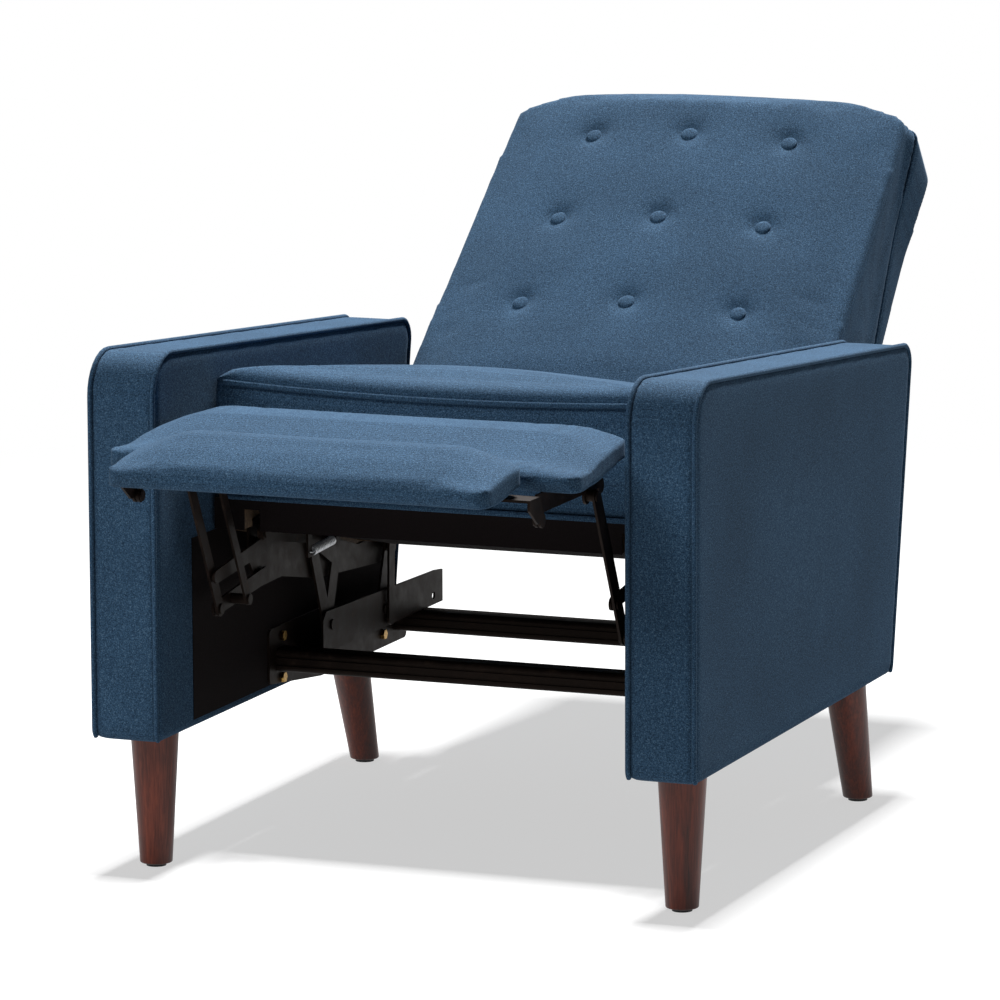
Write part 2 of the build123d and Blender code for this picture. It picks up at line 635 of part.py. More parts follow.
for name, side in sides:
    with BuildPart() as bracket:
        with BuildSketch(Plane.YZ.offset(side * layer[4])) as outline:
            Polygon((flip_pivot[0] - 4, 497), (flip_pivot[0] - 4, pad_low), (pad_rear - 22, pad_low),
                    (pad_rear - 2, 497), align=None)
            for point, radius in ((flip_pivot, 8), (pad_pivot, 10), (brace_high, 9)):
                with Locations(point):
                    Circle(radius)
            for point in (flip_pivot,):
                with Locations(point):
                    Circle(rivet + running, mode=Mode.SUBTRACT)
        extrude(amount=side * plate)
        with BuildSketch(Plane.XY.offset(pad_low)):
            with Locations((side * (layer[4] - 11), (pad_front + pad_rear) / 2)):
                Rectangle(22, 120)
        extrude(amount=-plate)
        for point, to_layer in ((pad_pivot, 2), (brace_high, 5)):
            outward = to_layer < 4
            start = layer[4] + plate if outward else layer[4]
            target = layer[to_layer] + (plate if outward else 0)
            near = layer[to_layer] - side_gap if outward else layer[to_layer] + plate + side_gap
            tip = target + (side_gap if outward else -side_gap)
            sign = 1 if outward else -1
            with BuildSketch(Plane.YZ.offset(side * (start - sign))):
                with Locations(point):
                    Circle(rivet)
            extrude(amount=side * (tip - start + sign))
            with BuildSketch(Plane.YZ.offset(side * start)):
                with Locations(point):
                    Circle(rivet_head)
            extrude(amount=side * (near - start))
            with BuildSketch(Plane.YZ.offset(side * tip)):
                with Locations(point):
                    Circle(rivet_head)
            extrude(amount=side * sign * head_thickness)
    keep(f"{name}_legrest_bracket", bracket.part)

    with BuildPart() as flip_bracket:
        with BuildSketch(Plane.YZ.offset(side * layer[3])):
            Polygon((flip_rear - flip_flange - 6, flip_low - 12), (flip_rear - flip_flange - 6, flip_low),
                    (flip_rear - 6, flip_low), (flip_rear + 10, flip_pivot[1]), (flip_rear - 12, flip_pivot[1] - 2),
                    align=None)
            with Locations(flip_pivot):
                Circle(8)
        extrude(amount=side * plate)
        with BuildSketch(Plane.XY.offset(flip_low)):
            with Locations((side * (layer[3] + plate - flange_reach / 2), flip_rear - 6 - flip_flange / 2)):
                Rectangle(flange_reach, flip_flange)
        extrude(amount=-plate)
        with BuildSketch(Plane.YZ.offset(side * (layer[3] + 1))):
            with Locations(flip_pivot):
                Circle(rivet)
        extrude(amount=-side * (1 + layer[3] - layer[4] + side_gap))
        with BuildSketch(Plane.YZ.offset(side * layer[3])):
            with Locations(flip_pivot):
                Circle(rivet_head)
        extrude(amount=-side * (layer[3] - layer[4] - plate - side_gap))
        with BuildSketch(Plane.YZ.offset(side * (layer[4] - side_gap))):
            with Locations(flip_pivot):
                Circle(rivet_head)
        extrude(amount=-side * head_thickness)
    keep(f"{name}_flipper_bracket", flip_bracket.part)

# ------------------------------------------------------------------ back
def seam(u):
    """Joint between the front cushion and the outer back, out of the hinge line."""
    return -115.0 + (u - 326.0) * 0.331


back_plane = Plane(origin=(0, hinge_y, hinge_z), x_dir=(1, 0, 0), z_dir=(0, back_out[0], back_out[1]))


def back_outline():
    """Front view of the back, in the back's own plane: x across, y up along it."""
    with BuildSketch(mode=Mode.PRIVATE) as outline:
        with BuildLine():
            Polyline((-back_half_top, back_shoulder), (-back_half_low, back_tongue_top),
                     (-back_half_tongue, back_tongue_top), (-back_half_tongue, back_tongue_low),
                     (back_half_tongue, back_tongue_low), (back_half_tongue, back_tongue_top),
                     (back_half_low, back_tongue_top), (back_half_top, back_shoulder))
            ThreePointArc((back_half_top, back_shoulder), (0, back_top), (-back_half_top, back_shoulder))
        make_face()
        tops = outline.vertices().sort_by(Axis.Y)[-2:]
        fillet(tops, back_corner_round)
    return outline.sketch


def in_back(*points):
    return [on_back(u, n) for u, n in points]


bracket_blade = in_back((-10, -14), (170, -50), (170, -80), (-10, -40))

# slots that the steel brackets fill in each side of the back
with BuildPart() as bracket_slots:
    for side in (-1, 1):
        with BuildSketch(Plane.YZ.offset(side * layer[2])):
            Polygon(*in_back((20, -8), (172, -46), (172, -84), (20, -52)), align=None)
        extrude(amount=side * plate)


with BuildPart() as back_cushion:
    with BuildSketch(Plane(origin=(0, *on_back(back_tongue_low, 0)), x_dir=(1, 0, 0),
                           z_dir=(0, back_up[0], back_up[1]))) as section:
        # here local y points backwards out of the back
        with BuildLine():
            Polyline((-back_half_low, -back_edge), (-back_half_low, back_depth), (back_half_low, back_depth),
                     (back_half_low, -back_edge))
            ThreePointArc((back_half_low, -back_edge), (0, -back_face), (-back_half_low, -back_edge))
        make_face()
    extrude(amount=back_top - back_tongue_low)
    with BuildSketch(back_plane):
        add(back_outline())
    extrude(amount=back_depth, both=True, mode=Mode.INTERSECT)
    with BuildSketch(Plane.YZ.offset(-half_width)):
        with BuildLine():
            Polyline(*in_back((0, back_face), (back_top - back_top_round, back_face)))
            ThreePointArc(*in_back((back_top - back_top_round, back_face),
                                   (back_top - 0.28 * back_top_round, 0.62 * back_face), (back_top, 0)))
            Polyline(*in_back((back_top, 0), (back_top, seam(back_top) + cushion_gap),
                              (back_tongue_top, seam(back_tongue_top) + cushion_gap), (-40, -60), (-50, 0)))
            ThreePointArc(*in_back((-50, 0), (-36, 34.7), (0, back_face)))
        make_face()
    extrude(amount=chair_width, mode=Mode.INTERSECT)
    add(bracket_slots.part, mode=Mode.SUBTRACT)
keep("back_cushion", back_cushion.part)

with BuildPart() as outer_back:
    with BuildSketch(back_plane):
        add(back_outline())
    extrude(amount=back_depth, both=True)
    with BuildSketch(Plane.YZ.offset(-half_width)):
        with BuildLine():
            Polyline(*in_back((back_tongue_top, seam(back_tongue_top)), (back_top, seam(back_top)), (back_top, back_rear_top + 30)))
            ThreePointArc(*in_back((back_top, back_rear_top + 30), (back_top - 8, back_rear_top + 8),
                                   (back_top - 30, back_rear_top)))
            Polyline(*in_back((back_top - 30, back_rear_top), (back_low, back_rear_low),
                              (-40, -60), (back_tongue_top, seam(back_tongue_top))))
        make_face()
    extrude(amount=chair_width, mode=Mode.INTERSECT)
keep("outer_back", outer_back.part)

with BuildPart() as back_buttons:
    for along, half in button_rows:
        for x in (-half, 0, half):
            # the front face is an arc across the back: find its height at this x
            sag = back_face - back_edge
            arc_radius = (back_half_low ** 2 + sag ** 2) / (2 * sag)
            out = back_face - arc_radius + (arc_radius ** 2 - x ** 2) ** 0.5
            lean = degrees(atan2(x, (arc_radius ** 2 - x ** 2) ** 0.5))
            seat = Plane(origin=(x, *on_back(along, out + 0.6)), x_dir=(1, 0, 0),
                         z_dir=(0, back_out[0], back_out[1])).rotated((0, lean, 0))
            with BuildSketch(seat):
                Circle(button_diameter / 2)
            extrude(amount=button_height, taper=35)
keep("back_buttons", back_buttons.part)

for name, side in sides:
    with BuildPart() as back_bracket:
        with BuildSketch(Plane.YZ.offset(side * layer[2])) as outline:
            Polygon(*bracket_blade, align=None)
            for group in ([(hinge, 16), (back_tail_pin, 9)], [(hinge, 16), (on_back(30, -30), 16)]):
                with BuildSketch(mode=Mode.PRIVATE) as bar:
                    for point, radius in group:
                        with Locations(point):
                            Circle(radius)
                    make_hull()
                add(bar.sketch)
            with Locations(back_tail_pin):
                Circle(rivet + slack, mode=Mode.SUBTRACT)
        extrude(amount=side * plate)
        with BuildSketch(Plane.YZ.offset(side * (layer[2] + 1))):
            with Locations(hinge):
                Circle(rivet)
        extrude(amount=side * (layer[0] + plate + side_gap - layer[2] - 1))
        with BuildSketch(Plane.YZ.offset(side * (layer[2] + plate))):
            with Locations(hinge):
                Circle(rivet_head + 2)
        extrude(amount=side * (layer[0] - side_gap - layer[2] - plate))
        with BuildSketch(Plane.YZ.offset(side * (layer[0] + plate + side_gap))):
            with Locations(hinge):
                Circle(rivet_head)
        extrude(amount=side * head_thickness)
    keep(f"{name}_back_bracket", back_bracket.part)
    keep(f"{name}_back_link", link(
        side, 3, [[(back_link_foot, 9), (back_tail_pin, 9)]],
        pins=[(back_link_foot, 2), (back_tail_pin, 2)]))

# ------------------------------------------------------------- fasteners
with BuildPart() as base_bolts:
    for side in (-1, 1):
        with BuildSketch(Plane.YZ.offset(side * plate_inner)):
            with Locations((base_plate_front + 38, 233), (base_plate_front + 38, 181), (base_plate_rear - 80, 177)):
                RegularPolygon(bolt_across / 2, 6)
        extrude(amount=-side * bolt_head)
keep("base_bolts", base_bolts.part)

# --------------------------------------------------------------- export
boxes = [part.bounding_box() for part in pieces.values()]
middle = (min(box.min.Y for box in boxes) + max(box.max.Y for box in boxes)) / 2
os.makedirs("parts", exist_ok=True)
for name, part in pieces.items():
    placed = part.moved(Location((0, -middle, 0)))
    placed.label = name
    export_step(placed, f"parts/{name}.step")
print(f"Y moved by {-middle:.3f}")
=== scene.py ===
# %% [markdown]
# # A push-back recliner, opened out
# This lesson dresses a recliner armchair whose steel parts already exist as a fixed model.
# The model is loaded first and never moved; everything added here rides on one of its bodies, except the springs, which
# stay where they are copied.

# %% Load the fixed model and keep its box
import bpy, bmesh, json
import numpy as np
from math import radians, sin, cos, pi
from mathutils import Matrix, Quaternion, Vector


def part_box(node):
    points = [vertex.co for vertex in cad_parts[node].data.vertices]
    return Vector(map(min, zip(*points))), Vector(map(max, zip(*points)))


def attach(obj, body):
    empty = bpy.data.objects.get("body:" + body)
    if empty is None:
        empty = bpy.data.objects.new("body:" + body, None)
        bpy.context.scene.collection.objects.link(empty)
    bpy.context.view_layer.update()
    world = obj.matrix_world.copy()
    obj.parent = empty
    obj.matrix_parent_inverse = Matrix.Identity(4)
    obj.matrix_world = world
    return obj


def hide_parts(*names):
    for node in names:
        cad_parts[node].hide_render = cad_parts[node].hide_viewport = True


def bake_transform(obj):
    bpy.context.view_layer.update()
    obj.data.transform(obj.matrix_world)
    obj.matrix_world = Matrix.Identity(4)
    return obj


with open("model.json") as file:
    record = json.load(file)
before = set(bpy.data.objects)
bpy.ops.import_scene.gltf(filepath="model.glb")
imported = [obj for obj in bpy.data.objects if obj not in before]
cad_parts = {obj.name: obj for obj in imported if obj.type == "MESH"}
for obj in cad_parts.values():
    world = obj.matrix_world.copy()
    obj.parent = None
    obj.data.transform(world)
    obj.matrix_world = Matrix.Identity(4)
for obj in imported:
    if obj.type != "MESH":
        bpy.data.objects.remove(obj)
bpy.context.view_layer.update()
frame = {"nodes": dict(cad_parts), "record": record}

arm_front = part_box("left_arm")[0].y          # front face of the arms
mm = 0.001
joints = {joint["name"]: joint for joint in frame["record"]["behaviour"]["joints"]}

# %% [markdown]
# ## Camera
# A chair is usually pictured with a long lens from a few metres away, so that its upright lines stay upright.
# The camera stands to the right of the chair's middle and looks slightly down at it.

# %% Camera
lens_mm, sensor_mm = 227.9, 36.0
azimuth, elevation, roll, distance = radians(21.63), radians(9.60), radians(-0.21), 7.6473
look_at = Vector((0.0, arm_front + 0.3543, 0.4191))      # the point it looks at
away = Vector((sin(azimuth) * cos(elevation), -cos(azimuth) * cos(elevation), sin(elevation)))
camera = bpy.data.objects.new("camera", bpy.data.cameras.new("camera"))
bpy.context.collection.objects.link(camera)
camera.data.lens, camera.data.sensor_width = lens_mm, sensor_mm
camera.data.clip_end = 200.0
camera.location = look_at + away * distance
camera.rotation_mode = "QUATERNION"
camera.rotation_quaternion = (-away).to_track_quat("-Z", "Y") @ Quaternion((0, 0, 1), roll)
bpy.context.scene.camera = camera
bpy.context.scene.view_settings.view_transform = "Standard"
print("camera at", tuple(round(v, 3) for v in camera.location))

# %% [markdown]
# ## Small helpers
# Colours are written as the hex values a painter would pick, and turned to linear light by one function.
# One more function adds a shader node together with its settings and its links.

# %% Colour and node helpers
def linear(hex_colour):
    """sRGB hex to linear RGBA: c/12.92 below 0.04045, else ((c + 0.055)/1.055) to the power 2.4."""
    channels = [int(hex_colour[i:i + 2], 16) / 255 for i in (1, 3, 5)]
    return [c / 12.92 if c <= 0.04045 else ((c + 0.055) / 1.055) ** 2.4 for c in channels] + [1.0]


def add(tree, kind, values=None, links=None, **settings):
    """Adds one node: settings are its properties, values its constant inputs, links its joined inputs."""
    node = tree.nodes.new(kind)
    for key, value in settings.items():
        setattr(node, key, value)
    for key, value in (values or {}).items():
        node.inputs[key].default_value = value
    for key, source in (links or {}).items():
        tree.links.new(source, node.inputs[key])
    return node


def material(name):
    """An empty node material: returns it, its tree, its Principled shader and its Object coordinates."""
    made = bpy.data.materials.new(name)
    made.use_nodes = True
    tree = made.node_tree
    shader = next(n for n in tree.nodes if n.type == "BSDF_PRINCIPLED")
    place = add(tree, "ShaderNodeTexCoord")
    return made, tree, shader, place.outputs["Object"]


def ramp(tree, source, stops, mode="LINEAR"):
    """Colour ramp through (position, hex) stops, read at source."""
    node = add(tree, "ShaderNodeValToRGB", links={"Fac": source})
    node.color_ramp.interpolation = mode
    while len(node.color_ramp.elements) < len(stops):
        node.color_ramp.elements.new(0.5)
    for element, (position, colour) in zip(node.color_ramp.elements, stops):
        element.position, element.color = position, linear(colour)
    return node.outputs["Color"]


# %% [markdown]
# ## Cloth of the upholstery
# The cover is a heathered polyester tweed: light and dark blue fibres are spun into each yarn, and the yarns are
# woven plainly, so that from a step away the blue looks speckled and slightly fuzzy. Yarns lie about 1.3 mm apart.
# A fine noise mixes the two fibre colours, and a cellular pattern of one cell per yarn crossing lifts the surface;
# the same cells also darken the colour towards the gaps between crossings, as painted shade.

# %% Tweed
yarn = 0.0014          # metres between yarns; drawn a little coarser than the real cloth so that it shows
tweed, tree, shader, where = material("heathered_tweed")
fleck = add(tree, "ShaderNodeTexNoise", {"Scale": 0.85 / yarn, "Detail": 3.0, "Roughness": 0.7}, {"Vector": where})
cells = add(tree, "ShaderNodeTexVoronoi", {"Scale": 1 / yarn, "Randomness": 0.65}, {"Vector": where})
cloud = add(tree, "ShaderNodeTexNoise", {"Scale": 9.0, "Detail": 2.0}, {"Vector": where})
blues = ramp(tree, fleck.outputs["Fac"], [(0.28, "#2a415a"), (0.44, "#3b5a78"), (0.56, "#496d8e"), (0.74, "#7b9cb9")])
# painted shade: each yarn cell darkens towards its edge, in the gaps between yarn crossings
shade = ramp(tree, cells.outputs["Distance"], [(0.0, "#ffffff"), (0.75, "#9c9c9c")])
worn = ramp(tree, cloud.outputs["Fac"], [(0.35, "#f0f0f0"), (0.65, "#ffffff")])
# fibre colours times the painted shade of the yarn gaps, then times the random cloud
weave_and_painted_shade = add(tree, "ShaderNodeMix", {"Factor": 1.0}, {"A": blues, "B": shade}, data_type="RGBA", blend_type="MULTIPLY")
faded_with_painted_shade = add(tree, "ShaderNodeMix", {"Factor": 1.0}, {"A": weave_and_painted_shade.outputs["Result"], "B": worn},
            data_type="RGBA", blend_type="MULTIPLY")
tree.links.new(faded_with_painted_shade.outputs["Result"], shader.inputs["Base Color"])
nap = add(tree, "ShaderNodeBump", {"Strength": 0.25, "Distance": 0.0004}, {"Height": cells.outputs["Distance"]},
          invert=True)
tree.links.new(nap.outputs["Normal"], shader.inputs["Normal"])
shader.inputs["Roughness"].default_value = 0.92
shader.inputs["Sheen Weight"].default_value = 0.12
shader.inputs["Sheen Roughness"].default_value = 0.5
shader.inputs["Sheen Tint"].default_value = linear("#8fa9c4")
shader.inputs["Specular IOR Level"].default_value = 0.1
print("yarns", round(yarn * 1000, 1), "mm apart")

# %% [markdown]
# ## Dust cloth
# The underside and the inner faces of the arms are closed with a thin black non-woven cloth. It is dull, with a fine
# felted grain.

# %% Black dust cloth
dust_cloth, tree, shader, where = material("black_dust_cloth")
felt = add(tree, "ShaderNodeTexNoise", {"Scale": 900.0, "Detail": 2.0}, {"Vector": where})
tree.links.new(ramp(tree, felt.outputs["Fac"], [(0.35, "#0d0909"), (0.7, "#1c1516")]), shader.inputs["Base Color"])
grain = add(tree, "ShaderNodeBump", {"Strength": 0.25, "Distance": 0.0003}, {"Height": felt.outputs["Fac"]})
tree.links.new(grain.outputs["Normal"], shader.inputs["Normal"])
shader.inputs["Roughness"].default_value = 0.95
shader.inputs["Specular IOR Level"].default_value = 0.15

# %% [markdown]
# ## Stained wood of the legs
# The legs are turned from a plain hardwood, stained dark brown with a red cast and lacquered satin. The grain runs
# down the leg, so the pattern is stretched along Z: about 2 mm across the grain and 60 mm along it.

# %% Stained wood
stained_wood, tree, shader, where = material("stained_hardwood")
along = add(tree, "ShaderNodeMapping", {"Scale": (1.0, 1.0, 0.04)}, {"Vector": where})
fibres = add(tree, "ShaderNodeTexNoise", {"Scale": 420.0, "Detail": 5.0, "Roughness": 0.6, "Distortion": 0.6},
             {"Vector": along.outputs["Vector"]})
bands = add(tree, "ShaderNodeTexNoise", {"Scale": 60.0, "Detail": 2.0, "Distortion": 1.2},
            {"Vector": along.outputs["Vector"]})
figure = add(tree, "ShaderNodeMix", {"Factor": 0.45}, {"A": fibres.outputs["Fac"], "B": bands.outputs["Fac"]},
             data_type="FLOAT")
tree.links.new(ramp(tree, figure.outputs["Result"], [(0.3, "#300f07"), (0.5, "#5c2212"), (0.68, "#843921")]),
               shader.inputs["Base Color"])
pores = add(tree, "ShaderNodeBump", {"Strength": 0.12, "Distance": 0.0004}, {"Height": fibres.outputs["Fac"]})
tree.links.new(pores.outputs["Normal"], shader.inputs["Normal"])
shader.inputs["Roughness"].default_value = 0.38
shader.inputs["Coat Weight"].default_value = 0.15
shader.inputs["Specular IOR Level"].default_value = 0.35
shader.inputs["Coat Roughness"].default_value = 0.22

# %% [markdown]
# ## Metals of the mechanism
# The links are stamped from 3 mm strip and dipped in black enamel, which is smooth with a slight orange peel, and
# rubs thin to brown where parts slide. The springs are bright zinc, the bolts yellow zinc. A noise of 4 mm gives the
# peel, one of 20 mm the rubbed places, and the zinc gets a fine cloud of crystals.

# %% Black enamelled steel
enamel, tree, shader, where = material("black_enamelled_steel")
peel = add(tree, "ShaderNodeTexNoise", {"Scale": 260.0, "Detail": 3.0}, {"Vector": where})
rub = add(tree, "ShaderNodeTexNoise", {"Scale": 45.0, "Detail": 4.0, "Roughness": 0.7}, {"Vector": where})
tree.links.new(ramp(tree, rub.outputs["Fac"], [(0.45, "#17110f"), (0.62, "#221a17"), (0.78, "#3a2e27")]),
               shader.inputs["Base Color"])
gloss = add(tree, "ShaderNodeMapRange", {"From Min": 0.3, "From Max": 0.7, "To Min": 0.4, "To Max": 0.56},
            {"Value": rub.outputs["Fac"]})
tree.links.new(gloss.outputs["Result"], shader.inputs["Roughness"])
ripple = add(tree, "ShaderNodeBump", {"Strength": 0.1, "Distance": 0.0003}, {"Height": peel.outputs["Fac"]})
tree.links.new(ripple.outputs["Normal"], shader.inputs["Normal"])
shader.inputs["Specular IOR Level"].default_value = 0.12
shader.inputs["Specular Tint"].default_value = linear("#e6d2c2")


# %% Plated steels
def plated(name, dark, light, roughness):
    """A plated metal: cloudy colour between two hex values, as zinc leaves its crystals."""
    made, tree, shader, where = material(name)
    crystals = add(tree, "ShaderNodeTexNoise", {"Scale": 350.0, "Detail": 4.0}, {"Vector": where})
    tree.links.new(ramp(tree, crystals.outputs["Fac"], [(0.35, dark), (0.65, light)]), shader.inputs["Base Color"])
    drawn = add(tree, "ShaderNodeBump", {"Strength": 0.08, "Distance": 0.0002}, {"Height": crystals.outputs["Fac"]})
    tree.links.new(drawn.outputs["Normal"], shader.inputs["Normal"])
    shader.inputs["Metallic"].default_value = 1.0
    shader.inputs["Roughness"].default_value = roughness
    return made


bright_zinc = plated("bright_zinc", "#b9bcc0", "#e4e6e9", 0.30)
yellow_zinc = plated("yellow_zinc", "#8a6a34", "#c7a15c", 0.32)

# %% [markdown]
# ## Boards and glides
# The pads sit on plywood, whose grain runs along the board, so the pattern is stretched along X. The glides under the
# legs are moulded nylon, dull black with a fine skin.

# %% Plywood and moulded glide
plywood, tree, shader, where = material("plywood")
sheet_grain = add(tree, "ShaderNodeMapping", {"Scale": (0.06, 1.0, 1.0)}, {"Vector": where})
veneer = add(tree, "ShaderNodeTexNoise", {"Scale": 240.0, "Detail": 4.0, "Distortion": 0.8},
             {"Vector": sheet_grain.outputs["Vector"]})
tree.links.new(ramp(tree, veneer.outputs["Fac"], [(0.35, "#4b3a28"), (0.65, "#6a543c")]), shader.inputs["Base Color"])
shader.inputs["Roughness"].default_value = 0.7
glide_plastic, tree, shader, where = material("moulded_nylon")
skin = add(tree, "ShaderNodeTexNoise", {"Scale": 500.0}, {"Vector": where})
tree.links.new(ramp(tree, skin.outputs["Fac"], [(0.4, "#0d0d0e"), (0.6, "#161617")]), shader.inputs["Base Color"])
shader.inputs["Roughness"].default_value = 0.55

# %% Give every fixed piece its finish
finish_of = {"fabric": tweed, "lining": dust_cloth, "wood": stained_wood, "timber": plywood, "black_steel": enamel,
             "zinc": bright_zinc, "yellow_zinc": yellow_zinc, "glide": glide_plastic}
for part in frame["record"]["subparts"]:
    node = frame["nodes"][part["node"]]
    node.data.materials.clear()
    node.data.materials.append(finish_of[part["material_slot"]])

# %% [markdown]
# ## Soft pieces
# A padded piece starts as a copy of its plain solid. A voxel remesh gives it an even skin, the cloth solver blows that
# skin up a little, and the swelling is capped so that the piece keeps its place. Slight valleys are then pressed in
# where seams and buttons pull.

# %% Helpers for meshes worked out with numpy
def points_of(obj):
    """All vertex positions of a mesh as an (n, 3) array."""
    flat = np.empty(len(obj.data.vertices) * 3)
    obj.data.vertices.foreach_get("co", flat)
    return flat.reshape(-1, 3)


def set_points(obj, where):
    """Puts an (n, 3) array back as the mesh's vertex positions."""
    obj.data.vertices.foreach_set("co", np.ascontiguousarray(where, dtype=float).ravel())
    obj.data.update()


def mesh_object(name, vertices, faces, finish, smooth=True):
    """A new object at the origin from arrays of vertices and faces."""
    mesh = bpy.data.meshes.new(name)
    mesh.from_pydata(np.asarray(vertices, dtype=float).tolist(), [], faces)
    mesh.validate()
    mesh.materials.append(finish)
    made = bpy.data.objects.new(name, mesh)
    bpy.context.collection.objects.link(made)
    made.data.polygons.foreach_set("use_smooth", [smooth] * len(mesh.polygons))
    return made


def smoothstep(x):
    """0 below 0, 1 above 1, and 3x² - 2x³ between."""
    x = np.clip(x, 0, 1)
    return x * x * (3 - 2 * x)


# %% Inflating a copy of a plain solid
def only(obj):
    """Makes obj the only selected and the active object, as the modifier operator needs."""
    bpy.ops.object.select_all(action="DESELECT")
    obj.select_set(True)
    bpy.context.view_layer.objects.active = obj


def dense(path, step=0.003):
    """The same path with a point every step metres."""
    path = np.asarray(path, dtype=float)
    run = np.concatenate([[0], np.cumsum(np.linalg.norm(np.diff(path, axis=0), axis=1))])
    at = np.linspace(0, run[-1], int(run[-1] / step) + 2)
    return np.stack([np.interp(at, run, path[:, k]) for k in range(3)], -1)


def seam_distance(points, paths):
    """Distance from each point to the nearest of the paths' points, worked out in blocks of 2000."""
    path = np.concatenate([dense(one) for one in paths])
    blocks = np.array_split(points, len(points) // 2000 + 1)
    return np.concatenate([np.sqrt(((block[:, None] - path) ** 2).sum(-1).min(1)) for block in blocks])


swelling_frames = 20


def soft_copy(node, name, voxel=0.005, pressure=4.0, cap=0.006, relax=2, free=None, shape=None):
    """A padded copy of a plain solid.

    The copy is remeshed in voxels, evened relax times and moved by shape(points).  Then it is drawn in by half of cap
    along its normals and swollen by cloth pressure for 20 frames, and each point's travel is held to cap.
    free(points) says, from 0 at a seam to 1, how much of both a point takes part in.
    """
    source = frame["nodes"][node]
    made = bpy.data.objects.new(name, source.data.copy())
    bpy.context.collection.objects.link(made)
    only(made)
    remesh = made.modifiers.new("remesh", "REMESH")
    remesh.mode, remesh.voxel_size = "VOXEL", voxel
    bpy.ops.object.modifier_apply(modifier="remesh")
    if relax:
        even = made.modifiers.new("even", "SMOOTH")
        even.factor, even.iterations = 0.5, relax
        bpy.ops.object.modifier_apply(modifier="even")
    start = points_of(made)
    if shape is not None:
        start = shape(start)
        set_points(made, start)
    if pressure:
        loose = free(start)[:, None]
        normals = np.empty(len(start) * 3)
        made.data.vertices.foreach_get("normal", normals)
        start = start - 0.5 * cap * loose * normals.reshape(-1, 3)
        set_points(made, start)
        cloth = made.modifiers.new("cloth", "CLOTH")
        cloth.settings.use_pressure = True
        cloth.settings.uniform_pressure_force = pressure
        cloth.settings.quality = 5
        cloth.settings.effector_weights.gravity = 0.0
        cloth.point_cache.frame_start, cloth.point_cache.frame_end = 1, swelling_frames
        scene = bpy.context.scene
        for number in range(1, swelling_frames + 1):
            scene.frame_set(number)
        bpy.ops.object.modifier_apply(modifier="cloth")
        scene.frame_set(1)
        travel = points_of(made) - start
        length = np.linalg.norm(travel, axis=1, keepdims=True)
        travel *= loose * np.minimum(1.0, cap / np.maximum(length, 1e-9))
        print(name, "swells by up to", round(float(np.linalg.norm(travel, axis=1).max()) * 1000, 1), "mm")
        set_points(made, start + travel)
    made.data.materials.clear()
    made.data.materials.append(tweed)
    made.data.polygons.foreach_set("use_smooth", [True] * len(made.data.polygons))
    print(name, len(made.data.polygons), "faces")
    return made


# %% A cord of piping carried along a path
def piping(name, path, radius, body):
    """Tube of the given radius: a circle of 10 points carried along path, its side axis kept square to the path.

    point(i, a) = path(i) + radius (cos a · side(i) + sin a · lift(i)), with a flat disc on each end.
    """
    path = np.asarray(path, dtype=float)
    ahead = np.roll(path, -1, 0) - np.roll(path, 1, 0)
    ahead[0], ahead[-1] = path[1] - path[0], path[-1] - path[-2]
    ahead /= np.linalg.norm(ahead, axis=1, keepdims=True)
    guide = np.where(np.abs(ahead[:, :1]) < 0.9, np.array([[1.0, 0, 0]]), np.array([[0, 1.0, 0]]))
    side = np.cross(ahead, guide)
    side /= np.linalg.norm(side, axis=1, keepdims=True)
    lift = np.cross(ahead, side)
    angle = np.linspace(0, 2 * pi, 10, endpoint=False)[None, :, None]
    ring = path[:, None] + radius * (np.cos(angle) * side[:, None] + np.sin(angle) * lift[:, None])
    rows, around = ring.shape[:2]
    i = np.arange(rows - 1)[:, None]
    a = np.arange(around)[None, :]
    quad = np.stack([i * around + a, i * around + (a + 1) % around,
                     (i + 1) * around + (a + 1) % around, (i + 1) * around + a], -1).reshape(-1, 4)
    faces = quad.tolist() + [list(range(around))[::-1], [(rows - 1) * around + k for k in range(around)]]
    made = mesh_object(name, ring.reshape(-1, 3), faces, tweed)
    outward(made)
    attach(made, body)
    print(name, round(float(np.linalg.norm(np.diff(path, axis=0), axis=1).sum()), 2), "m long")
    return made


def outward(obj):
    """Turns every face of a closed mesh to point out of it."""
    shape = bmesh.new()
    shape.from_mesh(obj.data)
    bmesh.ops.recalc_face_normals(shape, faces=shape.faces)
    shape.to_mesh(obj.data)
    shape.free()


# %% [markdown]
# ## Arms
# Each arm is a slab of padded timber: two flat side panels, and one band of cloth that runs up the front and over the
# top. Piping is sewn between band and panels.

# %% Arms and their piping
def rounded_outline(corners, radii, step=0.012):
    """Closed side-view outline (y, z) with each corner rounded by an arc, sampled about every step metres."""
    corners = np.asarray(corners, dtype=float)
    out = []
    for k, radius in enumerate(radii):
        here, before, after = corners[k], corners[k - 1], corners[(k + 1) % len(corners)]
        u, v = (before - here) / np.linalg.norm(before - here), (after - here) / np.linalg.norm(after - here)
        half = np.arccos(np.clip(u @ v, -1, 1)) / 2
        reach = radius / np.tan(half)
        centre = here + (u + v) / np.linalg.norm(u + v) * radius / np.sin(half)
        first, last = here + u * reach - centre, here + v * reach - centre
        a0, a1 = np.arctan2(first[1], first[0]), np.arctan2(last[1], last[0])
        a1 = a0 + (a1 - a0 + pi) % (2 * pi) - pi
        angle = np.linspace(a0, a1, 9)
        out.append(centre + radius * np.stack([np.cos(angle), np.sin(angle)], -1))
    pieces = []
    for k, arc in enumerate(out):
        following = out[(k + 1) % len(out)][0]
        count = max(2, int(np.linalg.norm(following - arc[-1]) / step))
        pieces.append(arc)
        pieces.append(arc[-1] + (following - arc[-1]) * np.linspace(0, 1, count + 1)[1:-1, None])
    return np.concatenate(pieces)


